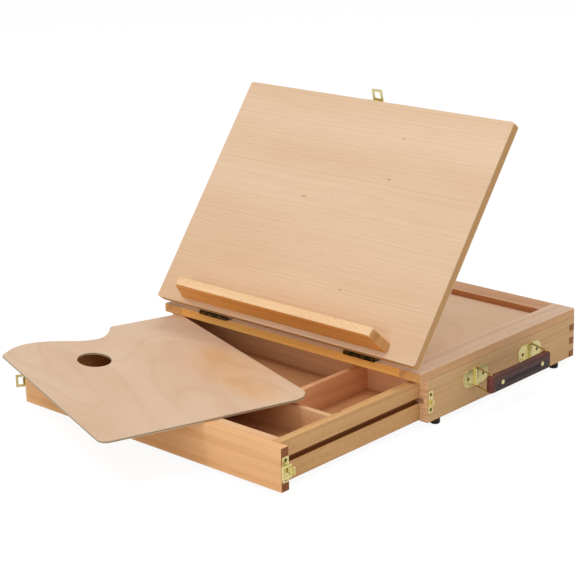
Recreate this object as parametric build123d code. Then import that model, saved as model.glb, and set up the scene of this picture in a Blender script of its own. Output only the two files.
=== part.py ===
from build123d import *
from math import cos, radians, sin
import os

# Pochade box: a case open at the front and underneath, a drawer on wooden runners, a hinged drawing
# board with a folding prop behind it, a loose palette on the drawer, a carrying handle and latches.
# Millimetres. X runs across the box, Y from its front to its back, Z up. The origin is the centre of
# the case's footprint, on the plane that the feet stand on.

# ---------------------------------------------------------------- driving dimensions
case_width = 400.0
case_depth = 296.0
wall_height = 49.5
side_wall = 11.5
back_wall = 10.0
frame_thickness = 10.5
frame_width = 30.0
panel_thickness = 3.5
panel_rabbet = 5.0
edge_round = 0.8
corner_finger_count = 6

foot_height = 7.5
foot_radius = 5.5
foot_inset = 6.0
foot_round = 1.5
foot_front = 33.0
foot_rear = 33.0
nail_radius = 0.8
nail_head_radius = 2.4
nail_head = 1.0
nail_length = 14.0

runner_height = 6.0
runner_low = 21.0
runner_housing = 6.0
runner_reach = 5.9

board_thickness = 12.0
board_gap = 5.0
board_corner = 3.0
board_round = 0.6
board_angle = 53.2

ledge_length = 320.0
ledge_thickness = 11.0
ledge_depth = 32.0
ledge_bevel = 10.0
ledge_lean = 11.5
ledge_inset = 6.5
ledge_corner = 5.0
ledge_round = 1.0

hinge_length = 43.5
hinge_spread = 228.0
hinge_pin_forward = 2.0
hinge_knuckle_radius = 2.6
hinge_pin_radius = 1.2
hinge_leaf = 1.2
hinge_leaf_width = 17.0

prop_reach = 123.0
prop_pin_drop = 3.0
prop_leg_spread = 90.0
prop_leg_width = 12.0
prop_leg_thickness = 6.0
prop_leg_top = 4.0
prop_leg_tail = 4.0
prop_bar_width = 16.0
prop_bar_thickness = 3.6
foot_bar_radius = 2.0
foot_bar_length = 136.0
prop_hinge_length = 16.0
prop_hinge_spread = 44.0
prop_knuckle_radius = 1.8
prop_pin_radius = 0.9
prop_leaf = 0.8
prop_leaf_width = 10.0

rack_width = 10.0
rack_spread = 126.0
rack_height = 6.4
rack_teeth = 8
rack_rest_tooth = 6
rack_pitch = 15.0
rack_notch = 2.4

drawer_front = 11.5
drawer_height = 48.0
drawer_drop = 2.4
drawer_wall = 10.0
drawer_back = 9.0
drawer_length = 268.0
drawer_box_rise = 3.0
drawer_floor = 3.0
drawer_floor_rise = 5.0
drawer_floor_groove = 4.0
drawer_finger_count = 5
drawer_open = 223.6
divider_thickness = 7.0
divider_rise = 30.0
divider_housing = 2.0
cross_divider_back = 112.5
long_divider_x = 91.0

palette_length = 330.0
palette_width = 245.5
palette_thickness = 3.0
palette_turn = -18.5
palette_x = -62.9
palette_y = -311.5
palette_round = 0.6
palette_left_corner = 12.0
palette_right_corner = 23.0
palette_near_corner = 11.0
palette_tip = 5.0
palette_notch_corner = 3.0
thumb_long = 25.5
thumb_short = 18.7
thumb_turn = -4.0
thumb_x = -67.0
thumb_y = -31.6
wave_points = [
    (-138.5, -116.4), (-143.1, -110.8), (-154.0, -98.3), (-160.4, -79.0), (-157.1, -58.0), (-145.8, -35.5),
    (-134.8, -16.0), (-132.1, -4.0), (-134.3, 7.5), (-140.5, 15.0), (-148.3, 21.0), (-165.0, 30.7),
]

latch_plate = 0.9
latch_width = 9.6
latch_length = 28.0
latch_screws = 20.5
latch_rise = 21.8
latch_drop = 1.7
latch_span = 10.75
rear_latch_span = 14.6
rear_latch_rise = 5.4
latch_pivot = 3.3
latch_wire = 0.8
latch_tube = 1.5
latch_lever_width = 6.2
latch_lever_length = 8.6
latch_tab_width = 8.6
latch_tab_gap = 2.3
latch_bail_pivot = 0.0
latch_bail_bar = 2.8
latch_bail_strip = 1.2
latch_bail_width = 14.9
latch_ear = 0.9
catch_width = 8.2
catch_length = 26.0
catch_screws = 17.5
hook_thickness = 1.2
hook_offset = -1.2
rear_hook_offset = -3.5
hook_width = 5.4
hook_lip = 3.5
lever_angle_right = 75.0
bail_angle_right = -90.0
bail_angle_left = -60.0
bail_angle_board = -50.0

handle_spacing = 105.0
handle_centre = 150.5
handle_rise = 30.5
handle_plate = 1.0
handle_plate_length = 46.0
handle_plate_width = 21.0
handle_screws = 28.4
handle_bridge = 19.4
handle_bridge_radius = 2.2
ring_wire = 1.0
ring_height = 22.0
ring_reach = 29.5
ring_corner = 1.2
ring_angle = -20.0
grip_height = 19.2
grip_thickness = 10.4
grip_round = 1.0
rivet_spacing = 76.5
rivet_radius = 1.5
rivet_head_radius = 2.7
rivet_head = 0.7

screw_head_radius = 2.2
screw_head = 1.2
screw_shank = 1.0
screw_length = 9.0
screw_slot = 0.6
screw_slot_depth = 0.5
ledge_screw_length = 28.0

running_fit = 0.06
seat_fit = 0.05
loose_fit = 0.3
close_gap = 0.5

# ---------------------------------------------------------------- places worked out from them
front_y = -case_depth / 2
back_y = case_depth / 2
half_width = case_width / 2
wall_low_z = foot_height
wall_top_z = wall_low_z + wall_height
frame_top_z = wall_top_z + frame_thickness
wall_front_y = front_y + drawer_front + close_gap
wall_inner_x = half_width - side_wall
panel_top_z = wall_top_z + panel_thickness

hinge_y = front_y - hinge_pin_forward
hinge_z = frame_top_z + board_gap / 2
board_low_z = frame_top_z + board_gap
board_top_z = board_low_z + board_thickness

prop_pin_y = hinge_y + prop_reach
prop_pin_z = board_low_z - prop_pin_drop
foot_bar_y = prop_pin_y + prop_reach
foot_bar_z = 2 * prop_pin_z - hinge_z
foot_rest_y = hinge_y + 2 * prop_reach * cos(radians(board_angle))
rack_front_y = foot_rest_y - rack_rest_tooth * rack_pitch

drawer_low_z = wall_low_z - drawer_drop
drawer_top_z = drawer_low_z + drawer_height
drawer_box_low_z = drawer_low_z + drawer_box_rise
drawer_front_y = front_y - drawer_open
drawer_box_y = drawer_front_y + drawer_front
drawer_end_y = drawer_front_y + drawer_length
drawer_outer_x = wall_inner_x - close_gap
drawer_inner_x = drawer_outer_x - drawer_wall
runner_low_z = wall_low_z + runner_low
floor_low_z = drawer_box_low_z + drawer_floor_rise
floor_top_z = floor_low_z + drawer_floor

latch_height = latch_plate + latch_tube + 0.2
bail_over_hook = hook_thickness / 2 + loose_fit + latch_bail_bar / 2 - latch_bail_pivot
side_bail_length = latch_span + hook_offset + bail_over_hook
rear_bail_length = rear_latch_span + rear_hook_offset + bail_over_hook
handle_axis = handle_plate + loose_fit + ring_wire

parts = {}


# ---------------------------------------------------------------- helpers
def span(x0, x1, y0, y1, z0, z1):
    """A box between two corners."""
    return Pos((x0 + x1) / 2, (y0 + y1) / 2, (z0 + z1) / 2) * Box(abs(x1 - x0), abs(y1 - y0), abs(z1 - z0))


def rod(radius, start, end, axis):
    """A round bar along X, Y or Z: start is its first centre, end its far coordinate on that axis."""
    turn = {"x": Rot(Y=90), "y": Rot(X=-90), "z": Rot()}[axis]
    here = {"x": start[0], "y": start[1], "z": start[2]}[axis]
    bar = Cylinder(radius, end - here, align=(Align.CENTER, Align.CENTER, Align.MIN))
    return Pos(*start) * turn * bar


def mirrored(shape):
    """The same piece on the other side of the box."""
    return mirror(shape, Plane.YZ)


def keep(name, *shapes):
    """Files the piece, or the group of like pieces, under its name."""
    solids = [solid for shape in shapes for solid in shape.solids()]
    parts[name] = Compound(solids)


def fingers(low, high, count, odd):
    """Every other height of a finger joint, counted from the top."""
    step = (high - low) / count
    return [(high - (i + 1) * step, high - i * step) for i in range(count) if i % 2 == odd]


def about(y, z, angle):
    """A turn about the X direction through a point."""
    return Pos(0, y, z) * Rot(X=angle) * Pos(0, -y, -z)


# Screws lie along local Z with the top of the head at z = 0.
def screw_body(length, grow):
    head = Pos(0, 0, -screw_head) * Cone(
        screw_shank + grow, screw_head_radius + grow, screw_head, align=(Align.CENTER, Align.CENTER, Align.MIN)
    )
    shank = Pos(0, 0, -length - grow) * Cylinder(
        screw_shank + grow, length + grow - screw_head / 2, align=(Align.CENTER, Align.CENTER, Align.MIN)
    )
    return head + shank


def screw(place, length=screw_length):
    """A countersunk screw with a cross slot."""
    body = screw_body(length, 0)
    slot_length = 1.4 * screw_head_radius
    for turn in (0, 90):
        body -= Rot(Z=turn) * Pos(0, 0, -screw_slot_depth / 2) * Box(slot_length, screw_slot, screw_slot_depth)
    return place * body


def screw_hole(place, length=screw_length):
    """The hole that a screw fills."""
    return place * screw_body(length, seat_fit)


# ---------------------------------------------------------------- hinges
def knuckle_slots(length, own):
    """The thirds of a hinge that carry a leaf's knuckles: the two outer ones, or the middle one."""
    third = length / 3
    gap = loose_fit / 2
    outer = [(-length / 2, -third / 2 - gap), (third / 2 + gap, length / 2)]
    return outer if own == "outer" else [(-third / 2 + gap, third / 2 - gap)]


def hinge_leaf_body(length, own, knuckle_radius, pin_radius, side, width, low, high):
    """A leaf in its hinge's own frame: the pin on X, the plate towards +Y or -Y between two heights."""
    plate_start = knuckle_radius + loose_fit
    leaf = span(-length / 2, length / 2, side * plate_start, side * width, low, high)
    arm_low = min(low, 0) if high <= 0 else max(0, low - knuckle_radius)
    for x0, x1 in knuckle_slots(length, own):
        leaf += rod(knuckle_radius, (x0, 0, 0), x1, "x")
        leaf += span(x0, x1, 0, side * (plate_start + 1), arm_low, high)
    return leaf - rod(pin_radius + running_fit, (-length / 2 - 1, 0, 0), length / 2 + 1, "x")


def hinge_screw_places(length, width, knuckle_radius, side, top, up):
    """Two screws in a leaf, in the hinge's own frame."""
    turn = Rot() if up else Rot(X=180)
    y = side * (knuckle_radius + width) / 2
    return [Pos(x, y, top) * turn for x in (-length / 4, length / 4)]


# ---------------------------------------------------------------- latches
# A latch lies on a face: local Z is out of the face, local X towards its catch and local Y along the
# plate. The lever and the bail turn about lines along local Y.
def latch_base():
    plate = span(-latch_width / 2, latch_width / 2, -latch_length / 2, latch_length / 2, 0, latch_plate)
    plate = fillet(plate.edges().filter_by(Axis.Z), 1.2)
    ear_in = latch_lever_width / 2 + loose_fit
    for side in (-1, 1):
        plate += span(
            latch_pivot - latch_tube, latch_pivot + latch_tube, side * ear_in, side * (ear_in + latch_ear),
            0, latch_height,
        )
        plate += rod(
            latch_tube, (latch_pivot, min(side * ear_in, side * (ear_in + latch_ear)), latch_height),
            max(side * ear_in, side * (ear_in + latch_ear)), "y",
        )
    reach = ear_in + latch_ear
    plate -= rod(latch_wire + seat_fit, (latch_pivot, -reach - 1, latch_height), reach + 1, "y")
    pin = rod(latch_wire, (latch_pivot, -reach, latch_height), reach, "y")
    for place in latch_screw_places():
        plate -= screw_hole(place)
    return plate, pin


def latch_screw_places():
    return [Pos(0, y, latch_plate) for y in (-latch_screws / 2, latch_screws / 2)]


def lever_swing(angle):
    """The turn of a lever that stands open at an angle."""
    return Pos(latch_pivot, 0, latch_height) * Rot(Y=angle) * Pos(-latch_pivot, 0, -latch_height)


def latch_lever(angle):
    half = latch_lever_width / 2
    tab_half = latch_tab_width / 2
    low = latch_height + latch_tube - latch_plate + 0.2
    end = latch_pivot - latch_lever_length
    tab = span(end, latch_pivot - latch_tab_gap, -tab_half, tab_half, low, low + latch_plate)
    lever = fillet(tab.edges().filter_by(Axis.Z), 1.2)
    lever += span(end + latch_tab_gap, latch_pivot, -half, half, low, low + latch_plate)
    bores = []
    for x in (latch_pivot, latch_bail_pivot):
        lever += rod(latch_tube, (x, -half, latch_height), half, "y")
        bores.append(rod(latch_wire + running_fit, (x, -half - 1, latch_height), half + 1, "y"))
    for bore in bores:
        lever -= bore
    return lever_swing(angle) * lever


def latch_bail(length, lever_angle, angle):
    """The bail, built shut and then swung so that it stands at the angle from straight out."""
    half = latch_bail_width / 2
    inner = half - latch_bail_bar
    z0 = latch_height - latch_bail_strip / 2
    z1 = latch_height + latch_bail_strip / 2
    end = latch_bail_pivot + length
    bail = span(end - latch_bail_bar / 2, end + latch_bail_bar / 2, -half, half, z0, z1)
    for side in (-1, 1):
        bail += span(latch_bail_pivot - latch_wire, end, side * inner, side * half, z0, z1)
    bail = fillet(bail.edges().filter_by(Axis.Z), 0.6)
    bail += rod(latch_wire, (latch_bail_pivot, -inner - 0.5, latch_height), inner + 0.5, "y")
    turn = Rot(Y=angle - 90 - lever_angle)
    swing = Pos(latch_bail_pivot, 0, latch_height) * turn * Pos(-latch_bail_pivot, 0, -latch_height)
    return lever_swing(lever_angle) * swing * bail


def catch_screw_places():
    return [Pos(0, y, latch_plate) for y in (-catch_screws / 2, catch_screws / 2)]


def catch(offset):
    """A plate whose hook stands off its middle line by the offset."""
    plate = span(-catch_width / 2, catch_width / 2, -catch_length / 2, catch_length / 2, 0, latch_plate)
    plate = fillet(plate.edges().filter_by(Axis.Z), 1.2)
    x0 = offset - hook_thickness / 2
    lip_low = latch_height + latch_bail_strip / 2 + close_gap
    half = hook_width / 2
    plate += span(x0, x0 + hook_thickness, -half, half, 0, lip_low + latch_plate)
    plate += span(x0, x0 + hook_lip, -half, half, lip_low, lip_low + latch_plate)
    for place in catch_screw_places():
        plate -= screw_hole(place)
    return plate


latch_base_middle = drawer_front / 2
drawer_latch_faces = {
    "right": Location(
        Plane((half_width, drawer_front_y + latch_base_middle, wall_low_z + latch_rise), (0, 1, 0), (1, 0, 0))
    ),
    "left": Location(
        Plane((-half_width, drawer_front_y + latch_base_middle, wall_low_z + latch_rise), (0, 1, 0), (-1, 0, 0))
    ),
}
wall_catch_faces = [
    Pos(0, drawer_open + latch_span, latch_drop) * face for face in drawer_latch_faces.values()
]
board_latch_face = Location(Plane((0, back_y, board_low_z + rear_latch_rise), (0, 0, -1), (0, 1, 0)))
rear_catch_face = Pos(0, 0, -rear_latch_span) * board_latch_face

# ---------------------------------------------------------------- handle places
handle_y = [front_y + handle_centre + side * handle_spacing / 2 for side in (-1, 1)]
handle_z = wall_low_z + handle_rise
handle_faces = [Location(Plane((half_width, y, handle_z), (0, 1, 0), (1, 0, 0))) for y in handle_y]
handle_plate_screws = [Pos(x, 0, handle_plate) for x in (-handle_screws / 2, handle_screws / 2)]

# ---------------------------------------------------------------- screws of the case
leaf_low = -board_gap / 2
case_hinge_places = [Pos(x, hinge_y, hinge_z) for x in (-hinge_spread / 2, hinge_spread / 2)]
case_leaf_screws = [
    place * at
    for place in case_hinge_places
    for at in hinge_screw_places(
        hinge_length, hinge_leaf_width, hinge_knuckle_radius, 1, leaf_low + hinge_leaf, True
    )
]
catch_screw_spots = [face * at for face in (*wall_catch_faces, rear_catch_face) for at in catch_screw_places()]
handle_screw_spots = [face * at for face in handle_faces for at in handle_plate_screws]
case_screw_spots = case_leaf_screws + catch_screw_spots + handle_screw_spots
case_screw_holes = [screw_hole(place) for place in case_screw_spots]


def drilled(shape, holes):
    """The shape less the holes that reach it."""
    box = shape.bounding_box()
    for hole in holes:
        other = hole.bounding_box()
        apart = any(
            low > high
            for low, high in (
                (box.min.X, other.max.X), (box.min.Y, other.max.Y), (box.min.Z, other.max.Z),
                (other.min.X, box.max.X), (other.min.Y, box.max.Y), (other.min.Z, box.max.Z),
            )
        )
        if not apart:
            shape -= hole
    return shape


# ---------------------------------------------------------------- case
foot_spots = [
    Pos(side * (half_width - foot_inset), y, 0)
    for side in (-1, 1)
    for y in (front_y + foot_front, back_y - foot_rear)
]


def foot():
    body = Cylinder(foot_radius, foot_height, align=(Align.CENTER, Align.CENTER, Align.MIN))
    body = fillet(body.faces().sort_by(Axis.Z)[0].edges(), foot_round)
    body -= rod(nail_head_radius + seat_fit, (0, 0, -1), foot_height / 2, "z")
    return body - rod(nail_radius + seat_fit, (0, 0, 0), foot_height + 1, "z")


def foot_nail():
    top = foot_height / 2
    head = rod(nail_head_radius, (0, 0, top - nail_head), top, "z")
    return head + rod(nail_radius, (0, 0, top - nail_head), top + nail_length, "z")


nail_holes = [spot * rod(nail_radius + seat_fit, (0, 0, 0), foot_height + nail_length, "z") for spot in foot_spots]


def case_side_right():
    wall = span(wall_inner_x, half_width, wall_front_y, back_y, wall_low_z, wall_top_z)
    outer = wall.faces().sort_by(Axis.X)[-1]
    wall = fillet(outer.edges().sort_by(Axis.Y)[0], edge_round)
    for z0, z1 in fingers(wall_low_z, wall_top_z, corner_finger_count, 1):
        wall -= span(wall_inner_x, half_width, back_y - back_wall, back_y, z0, z1)
    wall -= span(
        wall_inner_x, wall_inner_x + runner_housing, wall_front_y, back_y - back_wall,
        runner_low_z, runner_low_z + runner_height,
    )
    return wall


side_right = case_side_right()
keep("case_side_right", drilled(side_right, case_screw_holes + nail_holes))
keep("case_side_left", drilled(mirrored(side_right), case_screw_holes + nail_holes))


def case_back():
    wall = span(-half_width, half_width, back_y - back_wall, back_y, wall_low_z, wall_top_z)
    for z0, z1 in fingers(wall_low_z, wall_top_z, corner_finger_count, 0):
        for side in (-1, 1):
            wall -= span(side * wall_inner_x, side * half_width, back_y - back_wall, back_y, z0, z1)
    return wall


keep("case_back", drilled(case_back(), case_screw_holes))


def runner_right():
    return span(
        wall_inner_x - runner_reach, wall_inner_x + runner_housing, wall_front_y, back_y - back_wall,
        runner_low_z, runner_low_z + runner_height,
    )


keep("runner_right", runner_right())
keep("runner_left", mirrored(runner_right()))

panel_half_x = half_width - frame_width + panel_rabbet
panel_y = case_depth / 2 - frame_width + panel_rabbet
panel = span(-panel_half_x, panel_half_x, -panel_y, panel_y, wall_top_z, panel_top_z)
keep("top_panel", panel)


def frame_rail_right():
    rail = span(half_width - frame_width, half_width, front_y, back_y, wall_top_z, frame_top_z)
    rail = fillet(rail.faces().sort_by(Axis.X)[-1].edges(), edge_round)
    return rail - panel


def frame_rail_front():
    inner = half_width - frame_width
    rail = span(-inner, inner, front_y, front_y + frame_width, wall_top_z, frame_top_z)
    rail = fillet(rail.faces().sort_by(Axis.Y)[0].edges().filter_by(Axis.X), edge_round)
    return rail - panel


rail_front = frame_rail_front()
keep("frame_rail_right", frame_rail_right())
keep("frame_rail_left", mirrored(frame_rail_right()))
keep("frame_rail_front", drilled(rail_front, case_screw_holes))
keep("frame_rail_rear", drilled(mirror(rail_front, Plane.XZ), case_screw_holes))
keep("rubber_feet", *[spot * foot() for spot in foot_spots])
keep("foot_nails", *[spot * foot_nail() for spot in foot_spots])


def rack():
    """A strip with a row of V notches that the prop's foot bar drops into."""
    length = rack_teeth * rack_pitch
    y0 = rack_front_y
    strip = span(-rack_width / 2, rack_width / 2, y0, y0 + length, panel_top_z, panel_top_z + rack_height)
    for i in range(1, rack_teeth):
        notch = Pos(0, y0 + i * rack_pitch, panel_top_z + rack_height) * Rot(X=45)
        side = rack_notch * 2**0.5
        strip -= notch * Box(rack_width, side, side)
    return strip


keep("rack_right", Pos(rack_spread / 2, 0, 0) * rack())
keep("rack_left", Pos(-rack_spread / 2, 0, 0) * rack())

case_leaf = hinge_leaf_body(
    hinge_length, "outer", hinge_knuckle_radius, hinge_pin_radius, 1, hinge_leaf_width,
    leaf_low, leaf_low + hinge_leaf,
)
keep("hinge_leaves_case", *[drilled(place * case_leaf, case_screw_holes) for place in case_hinge_places])
keep(
    "hinge_pins",
    *[place * rod(hinge_pin_radius, (-hinge_length / 2, 0, 0), hinge_length / 2, "x") for place in case_hinge_places],
)
keep("catch_plates_side", *[face * catch(hook_offset) for face in wall_catch_faces])
keep("catch_plate_rear", rear_catch_face * catch(rear_hook_offset))


def handle_mount():
    """A brass plate with a bridge across it that the handle's ring turns in."""
    plate = extrude(SlotOverall(handle_plate_length, handle_plate_width), handle_plate)
    plate = chamfer(plate.faces().sort_by(Axis.Z)[-1].edges(), 0.3)
    half = handle_bridge / 2
    plate += span(-handle_bridge_radius, handle_bridge_radius, -half, half, handle_plate / 2, handle_axis)
    plate += rod(handle_bridge_radius, (0, -half, handle_axis), half, "y")
    plate -= rod(ring_wire + running_fit, (0, -half - 1, handle_axis), half + 1, "y")
    for place in handle_plate_screws:
        plate -= screw_hole(place)
    return plate


keep("handle_plates", *[face * handle_mount() for face in handle_faces])
keep("case_screws", *[screw(place) for place in case_screw_spots])

# ---------------------------------------------------------------- board, built shut and then raised
raised = about(hinge_y, hinge_z, board_angle)
board_leaf_places = [
    place * at
    for place in case_hinge_places
    for at in hinge_screw_places(
        hinge_length, hinge_leaf_width, hinge_knuckle_radius, 1, -leaf_low - hinge_leaf, False
    )
]
prop_hinge_places = [Pos(x, prop_pin_y, prop_pin_z) for x in (-prop_hinge_spread / 2, prop_hinge_spread / 2)]
prop_board_leaf_places = [
    place * at
    for place in prop_hinge_places
    for at in hinge_screw_places(
        prop_hinge_length, prop_leaf_width, prop_knuckle_radius, -1, prop_pin_drop - prop_leaf, False
    )
]
board_latch_screws = [board_latch_face * at for at in latch_screw_places()]
ledge_screw_places = [
    Pos(x, front_y + ledge_inset + ledge_thickness / 2 + 0.5, board_low_z) * Rot(X=180)
    for x in (-0.36 * ledge_length, 0, 0.36 * ledge_length)
]
board_screw_spots = board_leaf_places + prop_board_leaf_places + board_latch_screws
board_screw_holes = [screw_hole(place) for place in board_screw_spots]
board_screw_holes += [screw_hole(place, ledge_screw_length) for place in ledge_screw_places]


def drawing_board():
    panel_solid = span(-half_width, half_width, front_y, back_y, board_low_z, board_top_z)
    panel_solid = fillet(panel_solid.edges().filter_by(Axis.Z), board_corner)
    top = panel_solid.faces().sort_by(Axis.Z)[-1].edges()
    low = panel_solid.faces().sort_by(Axis.Z)[0].edges()
    panel_solid = fillet(top + low, board_round)
    return drilled(panel_solid, board_screw_holes)


def canvas_ledge():
    """The strip that a canvas stands on: on edge, leaning back, its ends cut on a bevel."""
    half = ledge_length / 2
    tip = half - ledge_bevel
    sketch = Polyline(
        (-half, -2), (-half, 0), (-tip, ledge_depth), (tip, ledge_depth), (half, 0), (half, -2), close=True
    )
    outline = make_face(sketch)
    corners = outline.vertices().group_by(Axis.Y)[-1]
    outline = fillet(corners, ledge_corner)
    bar = extrude(Plane.XZ * outline, ledge_thickness, dir=(0, 1, 0))
    ends = bar.faces().filter_by(Plane.XZ)
    bar = fillet(ends[0].edges() + ends[1].edges(), ledge_round)
    y0 = front_y + ledge_inset
    bar = about(y0, board_top_z, -ledge_lean) * Pos(0, y0, board_top_z) * bar
    bar -= span(-case_width, case_width, front_y - ledge_depth, back_y, board_low_z, board_top_z)
    return drilled(bar, board_screw_holes)


board_leaf = hinge_leaf_body(
    hinge_length, "middle", hinge_knuckle_radius, hinge_pin_radius, 1, hinge_leaf_width,
    -leaf_low - hinge_leaf, -leaf_low,
)
prop_board_leaf = hinge_leaf_body(
    prop_hinge_length, "middle", prop_knuckle_radius, prop_pin_radius, -1, prop_leaf_width,
    prop_pin_drop - prop_leaf, prop_pin_drop,
)
keep("drawing_board", raised * drawing_board())
keep("canvas_ledge", raised * canvas_ledge())
keep(
    "hinge_leaves_board",
    *[raised * drilled(place * board_leaf, board_screw_holes) for place in case_hinge_places],
)
keep(
    "prop_leaves_board",
    *[raised * drilled(place * prop_board_leaf, board_screw_holes) for place in prop_hinge_places],
)
prop_pin = rod(prop_pin_radius, (-prop_hinge_length / 2, 0, 0), prop_hinge_length / 2, "x")
keep("prop_hinge_pins", *[raised * place * prop_pin for place in prop_hinge_places])
keep(
    "board_screws",
    *[raised * screw(place) for place in board_screw_spots],
    *[raised * screw(place, ledge_screw_length) for place in ledge_screw_places],
)

# ---------------------------------------------------------------- prop, built folded along the board
prop_turned = raised * about(prop_pin_y, prop_pin_z, -2 * board_angle)
leg_top_z = prop_pin_z + prop_leg_thickness / 3
leg_low_z = leg_top_z - prop_leg_thickness
bar_top_z = prop_pin_z + prop_knuckle_radius - prop_leaf
prop_leaf_screws = [
    place * at
    for place in prop_hinge_places
    for at in hinge_screw_places(
        prop_hinge_length, prop_leaf_width, prop_knuckle_radius, 1, prop_knuckle_radius, True
    )
]
short_screw = prop_bar_thickness
prop_screw_holes = [screw_hole(place, short_screw) for place in prop_leaf_screws]
foot_bar = rod(foot_bar_radius, (-foot_bar_length / 2, foot_bar_y, foot_bar_z), foot_bar_length / 2, "x")
foot_bar_bore = rod(
    foot_bar_radius + seat_fit, (-foot_bar_length / 2, foot_bar_y, foot_bar_z), foot_bar_length / 2, "x"
)


def prop_leg(side):
    centre = side * prop_leg_spread / 2
    leg = span(
        centre - prop_leg_width / 2, centre + prop_leg_width / 2,
        prop_pin_y + prop_leg_top, foot_bar_y + prop_leg_tail, leg_low_z, leg_top_z,
    )
    leg = fillet(leg.edges().filter_by(Axis.Y), edge_round)
    return leg - foot_bar_bore


inner_leg_x = (prop_leg_spread - prop_leg_width) / 2
prop_bar = span(
    -inner_leg_x, inner_leg_x, prop_pin_y + prop_leg_top, prop_pin_y + prop_leg_top + prop_bar_width,
    bar_top_z - prop_bar_thickness, bar_top_z,
)
prop_leaf_body = hinge_leaf_body(
    prop_hinge_length, "outer", prop_knuckle_radius, prop_pin_radius, 1, prop_leaf_width,
    prop_knuckle_radius - prop_leaf, prop_knuckle_radius,
)
keep("prop_leg_right", prop_turned * prop_leg(1))
keep("prop_leg_left", prop_turned * prop_leg(-1))
keep("prop_top_bar", prop_turned * drilled(prop_bar, prop_screw_holes))
keep("prop_foot_bar", prop_turned * foot_bar)
keep(
    "prop_leaves",
    *[prop_turned * drilled(place * prop_leaf_body, prop_screw_holes) for place in prop_hinge_places],
)
keep("prop_screws", *[prop_turned * screw(place, short_screw) for place in prop_leaf_screws])

# ---------------------------------------------------------------- drawer
drawer_screw_spots = [face * at for face in drawer_latch_faces.values() for at in latch_screw_places()]
drawer_screw_holes = [screw_hole(place) for place in drawer_screw_spots]
groove_low_z = runner_low_z - loose_fit
groove_high_z = runner_low_z + runner_height + loose_fit
groove_x = wall_inner_x - runner_reach - loose_fit
groove = span(groove_x, drawer_outer_x, drawer_box_y, drawer_end_y, groove_low_z, groove_high_z)
grooves = [groove, mirrored(groove)]
floor_x = drawer_inner_x + drawer_floor_groove
floor = span(
    -floor_x, floor_x, drawer_box_y + drawer_wall - drawer_floor_groove,
    drawer_end_y - drawer_back + drawer_floor_groove, floor_low_z, floor_top_z,
)
cross_y = drawer_front_y + cross_divider_back
cross_divider = span(
    -drawer_inner_x - divider_housing, drawer_inner_x + divider_housing,
    cross_y - divider_thickness / 2, cross_y + divider_thickness / 2, floor_top_z, floor_top_z + divider_rise,
)
cross_housing = span(
    -drawer_inner_x - divider_housing, drawer_inner_x + divider_housing,
    cross_y - divider_thickness / 2, cross_y + divider_thickness / 2, floor_top_z, drawer_top_z,
)
long_divider = span(
    long_divider_x - divider_thickness / 2, long_divider_x + divider_thickness / 2,
    cross_y + divider_thickness / 2 - divider_housing, drawer_end_y - drawer_back + divider_housing,
    floor_top_z, floor_top_z + divider_rise,
)
long_housing = span(
    long_divider_x - divider_thickness / 2, long_divider_x + divider_thickness / 2,
    drawer_end_y - drawer_back, drawer_end_y - drawer_back + divider_housing, floor_top_z, drawer_top_z,
)


def drawer_side():
    side = span(drawer_inner_x, drawer_outer_x, drawer_box_y, drawer_end_y, drawer_box_low_z, drawer_top_z)
    for z0, z1 in fingers(drawer_box_low_z, drawer_top_z, drawer_finger_count, 1):
        side -= span(drawer_inner_x, drawer_outer_x, drawer_box_y, drawer_box_y + drawer_wall, z0, z1)
        side -= span(drawer_inner_x, drawer_outer_x, drawer_end_y - drawer_back, drawer_end_y, z0, z1)
    return side - groove - floor - cross_housing


def drawer_cross_wall(y0, y1):
    """A wall of the drawer that runs across it, with fingers into both sides."""
    wall = span(-drawer_outer_x, drawer_outer_x, y0, y1, drawer_box_low_z, drawer_top_z)
    for z0, z1 in fingers(drawer_box_low_z, drawer_top_z, drawer_finger_count, 0):
        for side in (-1, 1):
            wall -= span(side * drawer_inner_x, side * drawer_outer_x, y0, y1, z0, z1)
    for cut in (*grooves, floor, long_housing):
        wall -= cut
    return wall


def drawer_face():
    face = span(
        -half_width, half_width, drawer_front_y, drawer_front_y + drawer_front, drawer_low_z, drawer_top_z
    )
    return drilled(fillet(face.edges(), edge_round), drawer_screw_holes)


keep("drawer_front", drawer_face())
keep("drawer_inner_front", drawer_cross_wall(drawer_box_y, drawer_box_y + drawer_wall))
keep("drawer_back", drawer_cross_wall(drawer_end_y - drawer_back, drawer_end_y))
keep("drawer_side_right", drawer_side())
keep("drawer_side_left", mirrored(drawer_side()))
keep("drawer_floor", floor)
keep("divider_cross", cross_divider - long_divider)
keep("divider_long", long_divider)

# ---------------------------------------------------------------- latches
lever_angles = {"right": lever_angle_right, "left": 0}
bail_angles = {"right": bail_angle_right, "left": bail_angle_left}
for name, face in drawer_latch_faces.items():
    keep("latch_base_" + name, *[face * piece for piece in latch_base()])
    keep("latch_lever_" + name, face * latch_lever(lever_angles[name]))
    keep("latch_bail_" + name, face * latch_bail(side_bail_length, lever_angles[name], bail_angles[name]))
keep("drawer_screws", *[screw(place) for place in drawer_screw_spots])
keep("latch_base_board", *[raised * board_latch_face * piece for piece in latch_base()])
keep("latch_lever_board", raised * board_latch_face * latch_lever(0))
keep("latch_bail_board", raised * board_latch_face * latch_bail(rear_bail_length, 0, bail_angle_board))


# ---------------------------------------------------------------- handle
def ring():
    """A wire ring in its plate's frame: one side on the bridge's axis, the other in the grip."""
    half = ring_height / 2
    path = FilletPolyline(
        (0, -half, 0), (0, half, 0), (0, half, ring_reach), (0, -half, ring_reach), radius=ring_corner, close=True
    )
    start = path @ 0
    wire = sweep(Plane(start, z_dir=path % 0) * Circle(ring_wire), path)
    return Pos(0, 0, handle_axis) * Rot(Y=ring_angle) * wire


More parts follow.
